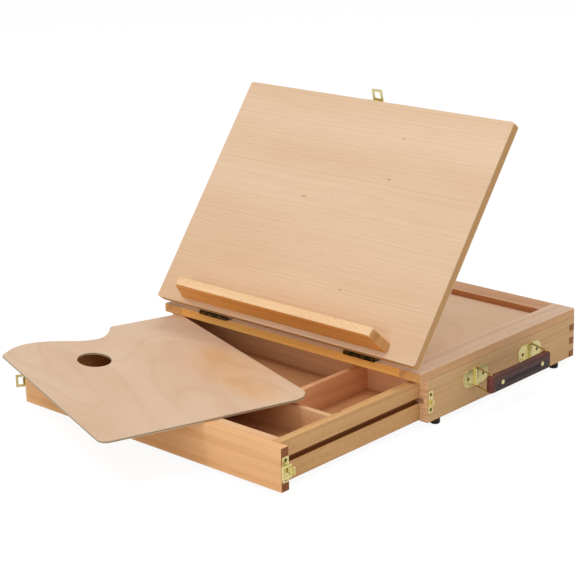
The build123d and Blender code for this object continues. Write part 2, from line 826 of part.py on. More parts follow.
def grip():
    """The leather grip, a flat loop of strap whose two ends wrap the far sides of both rings."""
    length = handle_spacing + grip_thickness
    strap = extrude(SlotOverall(length, grip_thickness), grip_height / 2, both=True)
    rims = strap.faces().sort_by(Axis.Z)
    strap = fillet(rims[0].edges() + rims[-1].edges(), grip_round)
    half = handle_spacing / 2
    for x in (-half, half):
        strap -= rod(ring_wire + running_fit, (x, 0, -grip_height), grip_height, "z")
    for x in (-rivet_spacing / 2, rivet_spacing / 2):
        strap -= rod(rivet_radius, (x, -grip_thickness, 0), grip_thickness, "y")
    return strap


def rivet():
    reach = grip_thickness / 2
    body = rod(rivet_radius, (0, -reach, 0), reach, "y")
    for side in (-1, 1):
        head = rod(rivet_head_radius, (0, min(side * reach, side * (reach + rivet_head)), 0),
                   max(side * reach, side * (reach + rivet_head)), "y")
        rim = head.faces().sort_by(Axis.Y)[0 if side < 0 else -1].edges()
        body += fillet(rim, rivet_head / 2)
    return body


keep("handle_ring_front", handle_faces[0] * ring())
keep("handle_ring_rear", handle_faces[1] * ring())
grip_place = Pos(
    half_width + handle_axis + ring_reach * cos(radians(ring_angle)),
    front_y + handle_centre + ring_reach * sin(radians(ring_angle)),
    handle_z,
) * Rot(Z=90)
keep("handle_grip", grip_place * grip())
rivet_spots = [Pos(x, 0, 0) for x in (-rivet_spacing / 2, rivet_spacing / 2)]
keep("handle_rivets", *[grip_place * spot * rivet() for spot in rivet_spots])


# ---------------------------------------------------------------- palette
def palette():
    """A sheet with one wavy side and a thumb hole, seen from above about its own centre."""
    right = palette_length / 2
    top = palette_width / 2
    wave = Spline(*wave_points)
    rest = Polyline(wave_points[-1], (-right, top), (right, top), (right, -top), wave_points[0])
    outline = make_face(wave + rest)
    corners = (
        (-right, top, palette_left_corner), (right, top, palette_right_corner),
        (right, -top, palette_near_corner), (*wave_points[0], palette_tip), (*wave_points[-1], palette_notch_corner),
    )
    for x, y, radius in corners:
        corner = outline.vertices().sort_by_distance((x, y, 0))[0]
        outline = fillet(corner, radius)
    thumb = Pos(thumb_x, thumb_y) * Rot(Z=thumb_turn) * Ellipse(thumb_long, thumb_short)
    sheet = extrude(outline - thumb, palette_thickness)
    rims = sheet.faces().filter_by(Axis.Z)
    return fillet(rims[0].edges() + rims[-1].edges(), palette_round)


keep("palette", Pos(palette_x, palette_y, drawer_top_z + loose_fit) * Rot(Z=palette_turn) * palette())

os.makedirs("parts", exist_ok=True)
for name, shape in parts.items():
    export_step(shape, "parts/" + name + ".step")
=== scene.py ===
import math
from collections import namedtuple

import bpy
from mathutils import Matrix, Vector


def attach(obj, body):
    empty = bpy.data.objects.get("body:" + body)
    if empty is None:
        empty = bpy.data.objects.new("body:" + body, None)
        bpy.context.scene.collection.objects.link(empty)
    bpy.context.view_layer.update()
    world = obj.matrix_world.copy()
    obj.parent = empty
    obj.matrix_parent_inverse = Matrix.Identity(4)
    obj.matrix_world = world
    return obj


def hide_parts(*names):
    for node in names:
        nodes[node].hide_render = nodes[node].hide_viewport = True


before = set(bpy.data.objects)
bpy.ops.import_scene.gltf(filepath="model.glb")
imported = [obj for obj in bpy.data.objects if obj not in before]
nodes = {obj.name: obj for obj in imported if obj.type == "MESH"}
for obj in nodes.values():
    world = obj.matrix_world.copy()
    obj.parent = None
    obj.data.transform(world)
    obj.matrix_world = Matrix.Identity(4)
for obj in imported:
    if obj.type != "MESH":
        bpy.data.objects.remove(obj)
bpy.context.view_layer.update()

# The looks of a pochade box: the finishes of its CAD pieces, its stitched leather grip, a white studio and
# the camera. Lengths are in metres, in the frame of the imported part, or in millimetres where MM follows.
MM = 0.001
BOARD_ANGLE = math.radians(53.2)
BOARD_BACK = 0.16454
PALETTE_TURN = math.radians(-18.5)
PALETTE_MIDDLE = (-0.0629, -0.3115, 0.0564)
GRIP_PLACE = Vector((0.230021, -0.0075896, 0.038))


# ------------------------------------------------------------------ shader writing
def paint(code):
    """A colour written as a web code, as the linear values that a shader takes."""
    parts = [int(code[i:i + 2], 16) / 255 for i in (0, 2, 4)]
    linear = [c / 12.92 if c <= 0.04045 else ((c + 0.055) / 1.055) ** 2.4 for c in parts]
    return (*linear, 1.0)


class Wire:
    """A value in a finish's node tree, so that shader maths reads as plain expressions."""

    def __init__(self, finish, socket):
        self.finish = finish
        self.socket = socket

    def maths(self, operation, *values):
        return self.finish.node("ShaderNodeMath", {"operation": operation}, dict(enumerate(values)))

    def __add__(self, other):
        return self.maths("ADD", self, other)

    def __sub__(self, other):
        return self.maths("SUBTRACT", self, other)

    def __rsub__(self, other):
        return self.maths("SUBTRACT", other, self)

    def __mul__(self, other):
        return self.maths("MULTIPLY", self, other)

    def __truediv__(self, other):
        return self.maths("DIVIDE", self, other)

    __radd__ = __add__

    def size(self):
        return self.maths("ABSOLUTE", self)

    def root(self):
        return self.maths("SQRT", self)

    def at_most(self, limit):
        return self.maths("MINIMUM", self, limit)

    def above(self, low, high):
        """0 below low, 1 above high and a soft step between them."""
        return self.finish.node(
            "ShaderNodeMapRange", {"interpolation_type": "SMOOTHSTEP", "clamp": True},
            {"Value": self, "From Min": low, "From Max": high, "To Min": 0.0, "To Max": 1.0},
        )


class Finish:
    """A material made of nodes."""

    MIX_MASK, MIX_UNDER, MIX_OVER, MIX_RESULT = 0, 6, 7, 2

    def __init__(self, name):
        self.material = bpy.data.materials.new(name)
        self.material.use_nodes = True
        self.tree = self.material.node_tree
        self.tree.nodes.clear()
        self.shader = self.tree.nodes.new("ShaderNodeBsdfPrincipled")
        self.output = self.tree.nodes.new("ShaderNodeOutputMaterial")
        self.tree.links.new(self.shader.outputs["BSDF"], self.output.inputs["Surface"])

    def feed(self, socket, value):
        if isinstance(value, Wire):
            self.tree.links.new(value.socket, socket)
        else:
            socket.default_value = value

    def node(self, kind, settings, inputs, output=0):
        """Adds a node: its settings first, then its sockets, and gives back one of its outputs."""
        made = self.tree.nodes.new(kind)
        for name, value in settings.items():
            setattr(made, name, value)
        for key, value in inputs.items():
            self.feed(made.inputs[key], value)
        return Wire(self, made.outputs[output])

    def vector(self, operation, *values, output=0):
        return self.node("ShaderNodeVectorMath", {"operation": operation}, dict(enumerate(values)), output)

    def where(self, turn=(0, 0, 0), shift=(0, 0, 0)):
        """The point of the surface in the object's own frame, turned to the wood's length and shifted."""
        place = self.node("ShaderNodeTexCoord", {}, {}, "Object")
        inputs = {"Vector": place, "Rotation": turn}
        turned = self.node("ShaderNodeMapping", {"vector_type": "POINT"}, inputs)
        return self.vector("ADD", turned, shift)

    def split(self, place, axis):
        return self.node("ShaderNodeSeparateXYZ", {}, {"Vector": place}, axis)

    def toward(self, direction):
        """How far the surface faces along a direction, -1 to 1."""
        normal = self.node("ShaderNodeTexCoord", {}, {}, "Normal")
        return self.vector("DOT_PRODUCT", normal, direction, output="Value")

    def apart(self, place, centre, reach):
        """The distance from a centre, where 1 is the surface of an ellipsoid with these half-lengths."""
        scaled = self.vector("DIVIDE", self.vector("SUBTRACT", place, centre), reach)
        return self.vector("LENGTH", scaled, output="Value")

    def inside(self, low, high):
        """1 within a box given by two corners in millimetres, 0 outside it."""
        place = self.node("ShaderNodeTexCoord", {}, {}, "Object")
        mask = 1.0
        for axis, start, end in zip("XYZ", low, high):
            along = self.split(place, axis)
            mask = along.maths("GREATER_THAN", along, start * MM) * mask
            mask = along.maths("LESS_THAN", along, end * MM) * mask
        return mask

    def noise(self, place, scale, detail, rough, warp=0.0):
        return self.node(
            "ShaderNodeTexNoise", {"noise_dimensions": "3D"},
            {"Vector": place, "Scale": scale, "Detail": detail, "Roughness": rough, "Distortion": warp},
            "Fac",
        )

    def haze(self, place, scale):
        """Soft patches, so many in a metre."""
        return self.noise(place, scale, 3.0, 0.6)

    def grit(self, place, scale):
        """Fine specks, so many in a metre."""
        return self.noise(place, scale, 2.0, 0.6)

    def grain(self, place, layer):
        """Noise drawn out along the wood's length."""
        drawn = self.vector("MULTIPLY", place, (layer.lengthwise, layer.across, layer.across))
        return self.noise(drawn, 1.0, layer.detail, layer.rough, layer.warp)

    def lines(self, reach, detail=2.0, rough=0.55):
        """Bands of uneven width and strength, one after another along a distance."""
        return self.node(
            "ShaderNodeTexNoise", {"noise_dimensions": "1D"},
            {"W": reach, "Scale": 1.0, "Detail": detail, "Roughness": rough}, "Fac",
        )

    def blend(self, mask, under, over, mode="MIX"):
        """One colour laid over another where the mask says."""
        mixed = self.tree.nodes.new("ShaderNodeMix")
        mixed.data_type = "RGBA"
        mixed.blend_type = mode
        for index, value in ((self.MIX_MASK, mask), (self.MIX_UNDER, under), (self.MIX_OVER, over)):
            self.feed(mixed.inputs[index], value)
        return Wire(self, mixed.outputs[self.MIX_RESULT])

    def stain(self, mask, under, tint):
        """A colour multiplied by a tint where the mask says."""
        return self.blend(mask, under, tint, "MULTIPLY")

    def bump(self, height, depth, strength):
        inputs = {"Strength": strength, "Distance": depth, "Height": height}
        return self.node("ShaderNodeBump", {}, inputs, "Normal")

    def set(self, **inputs):
        for name, value in inputs.items():
            self.feed(self.shader.inputs[name.replace("_", " ")], value)
        return self.material


# ------------------------------------------------------------------ finishes of wood
# Each layer is noise with so many features in a metre, lengthwise and across the fibres.
Layer = namedtuple("Layer", "lengthwise across detail rough warp", defaults=(2.0, 0.5, 0.0))
TIMBER_LAYERS = {
    "sway": Layer(2.6, 9.0),
    "cloud": Layer(5.0, 22.0, 3.0, 0.5, 0.3),
    "fibre": Layer(20.0, 1100.0, 2.0, 0.6),
    "streak": Layer(9.0, 380.0, 2.0, 0.6),
    "dashes": Layer(210.0, 1250.0, 1.0),
    "pores": Layer(60.0, 900.0, 2.0, 0.6),
}
PLY_LAYERS = {
    "swell": Layer(2.4, 7.0, 2.0, 0.45, 0.4),
    "cloud": Layer(6.0, 13.0, 3.0, 0.55),
    "fibre": Layer(25.0, 950.0, 2.0, 0.6),
    "dashes": Layer(240.0, 1500.0, 1.0),
}
BOARD_LAYERS = {
    "sway": Layer(5.0, 9.0),
    "cloud": Layer(3.0, 12.0, 3.0),
    "fibre": Layer(22.0, 1200.0, 2.0, 0.6),
    "dashes": Layer(190.0, 1300.0, 1.0),
}
# How each layer deepens a tone: from this value on, fully from this one, by this share.
TIMBER_SHADES = (("growth", 0.38, 0.72, 0.42), ("cloud", 0.35, 0.7, 0.34), ("streak", 0.42, 0.75, 0.2),
                 ("fibre", 0.35, 0.8, 0.16))
PLY_SHADES = (("swell", 0.35, 0.7, 0.22), ("rows", 0.45, 0.75, 0.2), ("cloud", 0.35, 0.7, 0.3),
              ("fibre", 0.35, 0.8, 0.12))
BOARD_SHADES = (("growth", 0.36, 0.7, 0.3), ("broad", 0.38, 0.68, 0.16), ("cloud", 0.32, 0.7, 0.24),
                ("fibre", 0.35, 0.8, 0.14))
END_SHADES = (("pores", 0.4, 0.75, 0.35), ("growth", 0.35, 0.7, 0.45))
PLY_EDGE_SHADES = (("fibre", 0.4, 0.7, 0.3),)
BOARD_EDGE_SHADES = (("fibre", 0.35, 0.8, 0.3), ("plies", 0.4, 0.7, 0.2))
TIMBER_FLECKS = (0.665, 0.76)
PLY_FLECKS, PLY_FLECK_SHARE = (0.68, 0.78), 0.22
BOARD_FLECKS, BOARD_FLECK_SHARE = (0.67, 0.78), 0.3

FLECK_TINT = (0.50, 0.34, 0.24, 1)
PORE_TINT = (0.62, 0.50, 0.42, 1)
KNOT_TINT = (0.45, 0.26, 0.15, 1)
WARM_TINT = (0.97, 0.90, 0.82, 1)
FACING = (0.6, 0.9)
END_FACING = (0.72, 0.9)
SHEET_FACING = (0.35, 0.8)
PITH_Y, PITH_Z = 0.23, 0.31
RING_SWAY = 0.018
FIBRE_HEIGHT, TIMBER_FLECK_HEIGHT, SHEET_FLECK_HEIGHT = 0.5, 0.6, 0.5
TIMBER_BUMP, PLY_BUMP, BOARD_BUMP = 0.00006, 0.00004, 0.00005
BUMP_STRENGTH = 0.5
TIMBER_ROUGHNESS, SHEET_ROUGHNESS = 0.48, 0.5
FIBRE_ROUGHNESS, END_ROUGHNESS = 0.12, 0.15
WOOD_SHINE = 0.22

TURNS = {"x": (0, 0, 0), "y": (0, 0, -math.pi / 2)}
ALONG = {"x": (1, 0, 0), "y": (0, 1, 0)}

# One stick of beech: its tones (pale, deep and end grain), the axis that it runs along, its place in the
# log, its growth rings in a metre, how bold its figure and its flecks are, and the faces and the boxes that
# get a tint of painted shade.
Stick = namedtuple("Stick", "tones along shift rings figure fleck faces pockets", defaults=((), ()))
# One flat sheet of plywood: its tones (pale, deep, middle layer and outer layers), the level of its
# underside, its thickness, its place in the log, how bold its figure is, how far it is turned and where it
# has patches of another tint.
Sheet = namedtuple("Sheet", "tones low thickness shift figure turn patches",
                   defaults=((0, 0, 0), 1.0, 0.0, ()))


def shade(looks, shades, figure=1.0):
    """How deep the wood's tone is; every layer but the fibres follows the boldness of its figure."""
    depth = 0.0
    for name, low, high, share in shades:
        depth = looks[name].above(low, high) * (share if name == "fibre" else share * figure) + depth
    return depth


def timber(name, stick, turn=None, end_way=None):
    """Oiled beech: growth lines about a pith off to one side, long fibres, dark flecks, open end grain."""
    pale, deep, end = (paint(tone) for tone in stick.tones)
    wood = Finish(name)
    place = wood.where(turn or TURNS[stick.along], stick.shift)
    looks = {layer: wood.grain(place, TIMBER_LAYERS[layer]) for layer in TIMBER_LAYERS}
    off_y = wood.split(place, "Y") + PITH_Y
    off_z = wood.split(place, "Z") + PITH_Z
    reach = (off_y * off_y + off_z * off_z).root()
    looks["growth"] = wood.lines(reach * stick.rings + looks["sway"] * (RING_SWAY * stick.rings))
    flecks = looks["dashes"].above(*TIMBER_FLECKS) * stick.fleck
    face = wood.stain(flecks, wood.blend(shade(looks, TIMBER_SHADES, stick.figure), pale, deep), FLECK_TINT)
    # Painted shade: faces turned the given way get a darker tint, standing in for the shade they lie in.
    for direction, tint in stick.faces:
        face = wood.stain(wood.toward(direction).above(*FACING), face, tint)
    # Painted shade: faces within each box are tinted darker, standing in for the shade in a hollow.
    for low, high, tint in stick.pockets:
        face = wood.stain(wood.inside(low, high), face, tint)
    cut = wood.toward(end_way or ALONG[stick.along]).size().above(*END_FACING)
    end_face = wood.stain(shade(looks, END_SHADES), end, PORE_TINT)
    fibre = looks["fibre"]
    return wood.set(
        Base_Color=wood.blend(cut, face, end_face),
        Roughness=TIMBER_ROUGHNESS + fibre * FIBRE_ROUGHNESS + cut * END_ROUGHNESS,
        Normal=wood.bump(fibre * FIBRE_HEIGHT - flecks * TIMBER_FLECK_HEIGHT, TIMBER_BUMP, BUMP_STRENGTH),
        Specular_IOR_Level=WOOD_SHINE,
    )


def sheet_wood(wood, face, side, normal, fibre, flecks, depth):
    """Closes a finish that has one look on the sheet's faces and another along its edges."""
    edge = 1.0 - wood.toward(normal).size().above(*SHEET_FACING)
    return wood.set(
        Base_Color=wood.blend(edge, face, side),
        Roughness=SHEET_ROUGHNESS + fibre * FIBRE_ROUGHNESS,
        Normal=wood.bump(fibre * FIBRE_HEIGHT - flecks * SHEET_FLECK_HEIGHT, depth, BUMP_STRENGTH),
        Specular_IOR_Level=WOOD_SHINE,
    )


PLY_ROWS = 26.0
PLY_CORE_LOW, PLY_CORE_HIGH = (0.27, 0.34), (0.66, 0.73)
PATCH_FADE, PATCH_RAGGED = (0.25, 1.05), 0.9


def ply(name, sheet):
    """Thin flat plywood: the flowing figure of a sheet peeled off a log, three layers along the edges."""
    pale, deep, core_tone, rim = (paint(tone) for tone in sheet.tones)
    wood = Finish(name)
    place = wood.where((0, 0, sheet.turn), sheet.shift)
    looks = {layer: wood.grain(place, PLY_LAYERS[layer]) for layer in PLY_LAYERS}
    looks["rows"] = wood.lines(looks["swell"] * PLY_ROWS, 2.0, 0.5)
    face = wood.blend(shade(looks, PLY_SHADES, sheet.figure), pale, deep)
    for centre, reach, strength, tint in sheet.patches:
        far = wood.apart(place, centre, reach) + (looks["cloud"] - 0.5) * PATCH_RAGGED
        face = wood.stain((1.0 - far.above(*PATCH_FADE)) * strength, face, tint)
    flecks = looks["dashes"].above(*PLY_FLECKS) * PLY_FLECK_SHARE
    face = wood.stain(flecks, face, FLECK_TINT)
    level = (wood.split(place, "Z") - sheet.low) / sheet.thickness
    core = level.above(*PLY_CORE_LOW) * (1.0 - level.above(*PLY_CORE_HIGH))
    side = wood.stain(shade(looks, PLY_EDGE_SHADES), wood.blend(core, rim, core_tone), PORE_TINT)
    return sheet_wood(wood, face, side, (0, 0, 1), looks["fibre"], flecks, PLY_BUMP)


# The knots: where each one is along and up the board, and its half-length and half-height, in millimetres.
BOARD_KNOTS = (
    ((-43.1, 131.0), (3.6, 1.5)),
    ((66.9, 171.0), (3.2, 1.4)),
    ((64.0, 222.6), (2.8, 1.3)),
    ((63.8, 30.7), (2.6, 1.2)),
)
KNOT_FADE, KNOT_SHARE = (0.5, 1.2), 0.5
BACK_VENEER, FRONT_VENEER = (0.0010, 0.0014), (0.0106, 0.0110)
LOW_PART, LOW_SHARE = (-0.03, 0.17), 0.5
# Lines in a metre up the board, and how far the sway moves them.
FINE_LINES, FINE_SWAY = 430.0, 4.0
BROAD_LINES, BROAD_SWAY = 22.0, 1.4
EDGE_PLIES = 900.0


def board_veneer(tones):
    """The drawing board: fine wavy lines a few millimetres apart, small knots, veneers along the edges."""
    pale, deep, core_tone, rim = (paint(tone) for tone in tones)
    wood = Finish("board_veneer")
    place = wood.where((-BOARD_ANGLE, 0, 0))
    looks = {layer: wood.grain(place, BOARD_LAYERS[layer]) for layer in BOARD_LAYERS}
    up = wood.split(place, "Y")
    looks["growth"] = wood.lines(up * FINE_LINES + looks["sway"] * FINE_SWAY, 2.0, 0.6)
    looks["broad"] = wood.lines(up * BROAD_LINES + looks["sway"] * BROAD_SWAY, 2.0, 0.5)
    face = wood.blend(shade(looks, BOARD_SHADES), pale, deep)
    face = wood.stain((1.0 - up.above(*LOW_PART)) * LOW_SHARE, face, WARM_TINT)
    flecks = looks["dashes"].above(*BOARD_FLECKS) * BOARD_FLECK_SHARE
    face = wood.stain(flecks, face, FLECK_TINT)
    flat = wood.node("ShaderNodeCombineXYZ", {}, {"X": wood.split(place, "X"), "Y": up})
    knots = 0.0
    for (x, y), (half_length, half_height) in BOARD_KNOTS:
        far = wood.apart(flat, (x * MM, y * MM, 0), (half_length * MM, half_height * MM, 1))
        knots = (1.0 - far.above(*KNOT_FADE)) + knots
    face = wood.stain(knots.at_most(1.0) * KNOT_SHARE, face, KNOT_TINT)
    level = wood.split(place, "Z") - BOARD_BACK
    veneer = level.above(*FRONT_VENEER) + (1.0 - level.above(*BACK_VENEER))
    looks["plies"] = wood.lines(level * EDGE_PLIES, 1.0, 0.5)
    core = wood.stain(shade(looks, BOARD_EDGE_SHADES), core_tone, PORE_TINT)
    side = wood.blend(veneer, core, rim)
    normal = (0, -math.sin(BOARD_ANGLE), math.cos(BOARD_ANGLE))
    return sheet_wood(wood, face, side, normal, looks["fibre"], flecks, BOARD_BUMP)


# ------------------------------------------------------------------ other finishes
def plated_brass(name, pale, deep, gloss):
    metal = Finish(name)
    place = metal.where()
    haze = metal.haze(place, 420.0)
    rub = metal.grit(place, 2600.0)
    colour = metal.blend(haze.above(0.4, 0.75) * 0.5, paint(pale), paint(deep))
    return metal.set(Base_Color=colour, Metallic=0.85, Roughness=gloss + haze * 0.16 + rub * 0.06,
                     Normal=metal.bump(rub, 0.00003, 0.4))


def aged_hinge():
    """Bronzed steel, worn through in patches."""
    metal = Finish("aged_hinge")
    place = metal.where()
    patch = metal.haze(place, 300.0)
    worn = metal.grit(place, 900.0)
    colour = metal.blend(patch.above(0.45, 0.7) * 0.7, paint("30230F"), paint("9A7C3C"))
    return metal.set(Base_Color=colour, Metallic=0.85, Roughness=0.36 + worn * 0.2,
                     Normal=metal.bump(worn, 0.00004, 0.5))


def nail_steel():
    metal = Finish("nail_steel")
    haze = metal.haze(metal.where(), 500.0)
    return metal.set(Base_Color=metal.blend(haze, paint("8E8E8C"), paint("6E6C69")), Metallic=0.9,
                     Roughness=0.35 + haze * 0.15)


def foot_rubber():
    rubber = Finish("foot_rubber")
    place = rubber.where()
    dust = rubber.haze(place, 700.0)
    grit = rubber.grit(place, 3500.0)
    colour = rubber.blend(dust.above(0.5, 0.8) * 0.5, paint("2A1E1A"), paint("4A3A34"))
    return rubber.set(Base_Color=colour, Roughness=0.72 + grit * 0.15,
                      Normal=rubber.bump(grit, 0.00006, 0.6))


# Where the leather's colour and its painted light and shade change, in metres from its middle: the first
# three go up and down, the others along it.
LIT_UPPER_HALF = (-0.001, 0.003)
RIM_HIGHLIGHT = (0.0080, 0.0094)
CREASE_SHADE_SIDE = (0.0003, 0.0014)
WORN_END = (0.050, 0.056)
CREASE_SHADE_END = (0.036, 0.040)
LEATHER_CELLS = 1250.0


def strap_leather():
    """Burgundy leather: fine cells, a paler upper half and a darker lower half as painted light and shade,
    red-brown rims as a painted highlight, worn red-brown ends and a painted shade line in the middle crease.
    """
    hide = Finish("strap_leather")
    place = hide.where((0, 0, 0), tuple(-GRIP_PLACE))
    cells = hide.node("ShaderNodeTexVoronoi", {"feature": "DISTANCE_TO_EDGE"},
                      {"Vector": place, "Scale": LEATHER_CELLS, "Randomness": 1.0}, "Distance")
    cloud = hide.haze(place, 130.0)
    height = hide.split(place, "Z")
    length = hide.split(place, "Y").size()
    # Painted highlight and wear: the rims turn red-brown as if catching the light, and the ends are a worn
    # red-brown.
    worn = height.size().above(*RIM_HIGHLIGHT) + length.above(*WORN_END)
    # Painted shade: a dark line along the pressed-in crease in the middle of each side.
    crease = (1.0 - height.size().above(*CREASE_SHADE_SIDE)) * (1.0 - length.above(*CREASE_SHADE_END))
    # Painted light and shade: the upper half is a paler burgundy as if lit from above, the lower half a
    # darker one as if shaded.
    colour = hide.blend(height.above(*LIT_UPPER_HALF), paint("2E1410"), paint("4E2824"))
    colour = hide.blend(worn * 0.8, colour, paint("743224"))
    colour = hide.blend(cloud.above(0.35, 0.75) * 0.35, colour, paint("2A1210"))
    # Painted shade darkens the crease.
    colour = hide.stain(crease * 0.7, colour, (0.3, 0.25, 0.25, 1))
    return hide.set(Base_Color=colour, Roughness=0.34 + cloud * 0.14, Specular_IOR_Level=0.5,
                    Normal=hide.bump(cells.above(0.0, 0.22) * 0.6 + cloud * 0.4, 0.00008, 0.5))


def waxed_thread():
    thread = Finish("waxed_thread")
    twist = thread.grain(thread.where(), Layer(2500.0, 900.0))
    return thread.set(Base_Color=thread.blend(twist, paint("8A5240"), paint("5A2E26")),
                      Roughness=0.55 + twist * 0.2, Normal=thread.bump(twist, 0.00005, 0.6))


# ------------------------------------------------------------------ the finish of each CAD piece
def wear(node, material):
    """Gives a CAD piece its finish."""
    obj = nodes[node]
    obj.data.materials.clear()
    obj.data.materials.append(material)


PLAIN = ("E2B98A", "C4915F", "B98A60")
WALL = ("DDB482", "BC8A56", "F6C898")
SIDE_RAIL = ("F0D2B6", "D8B08E", "E8AE6C")
DRAWER_SIDE = ("DEAE76", "BC8850", "A0683E")
# Painted shade: tints for faces and hollows that lie in shade. These are the front rail's front, the side
# rails' outer and inner faces, the rear rail's front, the ledge's underside and the drawer sides' runner
# grooves.
FRONT_SHADE_TINT = (1.0, 0.74, 0.31, 1)
OUTER_SIDE_SHADE_TINT = (0.86, 0.69, 0.48, 1)
SHADE_TINT = (0.80, 0.58, 0.42, 1)
LEDGE_UNDER_SHADE_TINT = (0.88, 0.62, 0.27, 1)
GROOVE_SHADE_TINT = (0.42, 0.26, 0.16, 1)

FRONTWARD, RIGHTWARD, LEFTWARD = (0, -1, 0), (1, 0, 0), (-1, 0, 0)
LEDGE_UNDER = (0, -math.cos(BOARD_ANGLE), -math.sin(BOARD_ANGLE))
LEG_END = (0, math.cos(BOARD_ANGLE), -math.sin(BOARD_ANGLE))
# Painted shade: boxes over the runner grooves in the drawer sides, whose faces are tinted dark.
GROOVE_SHADE_RIGHT = (((181.0, -400, 28.0), (187.9, 0, 35.0), GROOVE_SHADE_TINT),)
GROOVE_SHADE_LEFT = (((-187.9, -400, 28.0), (-181.0, 0, 35.0), GROOVE_SHADE_TINT),)

STICKS = {
    "case_side_right": Stick(WALL, "y", (0.2, 0, 0), 190, 0.55, 0.7),
    "case_side_left": Stick(WALL, "y", (-0.13, 0.3, 0), 190, 0.55, 0.7),
    "case_back": Stick(("DDB482", "BC8A56", "A8744A"), "x", (0, 0.4, 0.1), 190, 0.55, 0.7),
    # Painted shade: the front rail's front face is tinted a deep golden orange.
    "frame_rail_front": Stick(("FCD8B2", "F8C494", "D09A66"), "x", (0.3, 0.1, 0), 150, 1.0, 0.6,
                              ((FRONTWARD, FRONT_SHADE_TINT),)),
    "frame_rail_rear": Stick(("E6B890", "CC966C", "B98A60"), "x", (-0.2, 0, 0.2), 150, 1.0, 0.6,
                             ((FRONTWARD, SHADE_TINT),)),
    # Painted shade: the side rails' outer faces get a darker tint, and their inner faces the shade tint.
    "frame_rail_right": Stick(SIDE_RAIL, "y", (0.1, 0.4, 0), 150, 1.0, 0.8,
                              ((RIGHTWARD, OUTER_SIDE_SHADE_TINT), (LEFTWARD, SHADE_TINT))),
    "frame_rail_left": Stick(SIDE_RAIL, "y", (0.7, 0, 0.3), 150, 1.0, 0.8,
                             ((LEFTWARD, OUTER_SIDE_SHADE_TINT), (RIGHTWARD, SHADE_TINT))),
    "runner_right": Stick(PLAIN, "y", (0.4, 0.1, 0.1), 150, 1.0, 0.5),
    "runner_left": Stick(PLAIN, "y", (0.3, 0.2, 0.6), 150, 1.0, 0.5),
    "rack_right": Stick(PLAIN, "y", (0.9, 0.1, 0.1), 150, 1.0, 0.5),
    "rack_left": Stick(PLAIN, "y", (0.6, 0.2, 0.2), 150, 1.0, 0.5),
    "drawer_front": Stick(("F2BF8A", "E0A268", "9C623C"), "x", (0.1, 0.2, 0.3), 110, 0.9, 0.25),
    "drawer_inner_front": Stick(("ECBE92", "D29A6C", "A87048"), "x", (0.5, 0.1, 0.2), 150, 0.8, 0.4),
    "drawer_back": Stick(("F0C294", "DA9E6A", "A87048"), "x", (0.8, 0, 0), 150, 0.8, 0.4),
    # Painted shade: the runner grooves are tinted dark.
    "drawer_side_right": Stick(DRAWER_SIDE, "y", (0.25, 0.15, 0), 190, 0.7, 0.9, (), GROOVE_SHADE_RIGHT),
    "drawer_side_left": Stick(DRAWER_SIDE, "y", (0.6, 0.5, 0.2), 190, 0.7, 0.9, (), GROOVE_SHADE_LEFT),
    "divider_cross": Stick(("E8BC90", "CC9464", "A87048"), "x", (0.3, 0.9, 0), 150, 0.8, 0.4),
    "divider_long": Stick(("F6C090", "DC9C6C", "B87E52"), "y", (0.9, 0.3, 0), 150, 0.8, 0.4),
}
# Painted shade: the ledge's underside is tinted golden brown, standing in for the shade beneath it.
LEDGE = Stick(("F8D2A6", "E0AE78", "D09A60"), "x", (0.4, 0, 0), 130, 1.0, 1.0, ((LEDGE_UNDER, LEDGE_UNDER_SHADE_TINT),))
PROP_LEG = Stick(PLAIN, "y", (0.2, 0, 0), 150, 1.0, 0.6)
PROP_BAR = Stick(PLAIN, "x", (0.3, 0, 0), 150, 1.0, 0.6)

for node, stick in STICKS.items():
    wear(node, timber("beech_" + node, stick))
wear("drawing_board", board_veneer(("EACDAE", "D8AE86", "D0A06A", "EAD0AA")))
wear("canvas_ledge", timber("beech_ledge", LEDGE, (-BOARD_ANGLE, 0, 0)))
for node in ("prop_leg_right", "prop_leg_left"):
    wear(node, timber("beech_" + node, PROP_LEG, (BOARD_ANGLE, 0, -math.pi / 2), LEG_END))
wear("prop_top_bar", timber("beech_top_bar", PROP_BAR, (BOARD_ANGLE, 0, 0)))


def palette_spot(x, y):
    """A point of the palette, given from its middle, in the turned frame that its finish reads."""
    middle = Matrix.Rotation(-PALETTE_TURN, 3, "Z") @ Vector(PALETTE_MIDDLE)
    return (middle.x + x * MM, middle.y + y * MM, middle.z)


# The golden patches: the middle, the half-lengths, how strong it is and its tint.
PALETTE_PATCHES = (
    (palette_spot(40, 88), (0.120, 0.065, 0.05), 0.85, (1.0, 0.86, 0.66, 1)),
    (palette_spot(-5, 92), (0.045, 0.022, 0.05), 0.6, (0.98, 0.84, 0.62, 1)),
    (palette_spot(118, 78), (0.050, 0.040, 0.05), 0.7, (1.0, 0.86, 0.66, 1)),
    (palette_spot(80, 70), (0.024, 0.015, 0.05), 0.5, (0.90, 0.74, 0.56, 1)),
)
SHEETS = {
    "top_panel": Sheet(("EECEAE", "DAB290", "8C6B4A", "CBA07A"), 0.0570, 0.0035, (0.1, 0.2, 0), 0.7),
    "drawer_floor": Sheet(("DEAA7A", "C68C5A", "8C6B4A", "CBA07A"), 0.0131, 0.003, (0.5, 0.2, 0)),
    "palette": Sheet(("E2C5AA", "D2AA8A", "9C8868", "D6C6AC"), 0.0534, 0.003, figure=0.9, turn=-PALETTE_TURN,
                     patches=PALETTE_PATCHES),
}
for node, sheet in SHEETS.items():
    wear(node, ply("ply_" + node, sheet))

brass = plated_brass("plated_brass", "F4E8A6", "CDB56C", 0.2)
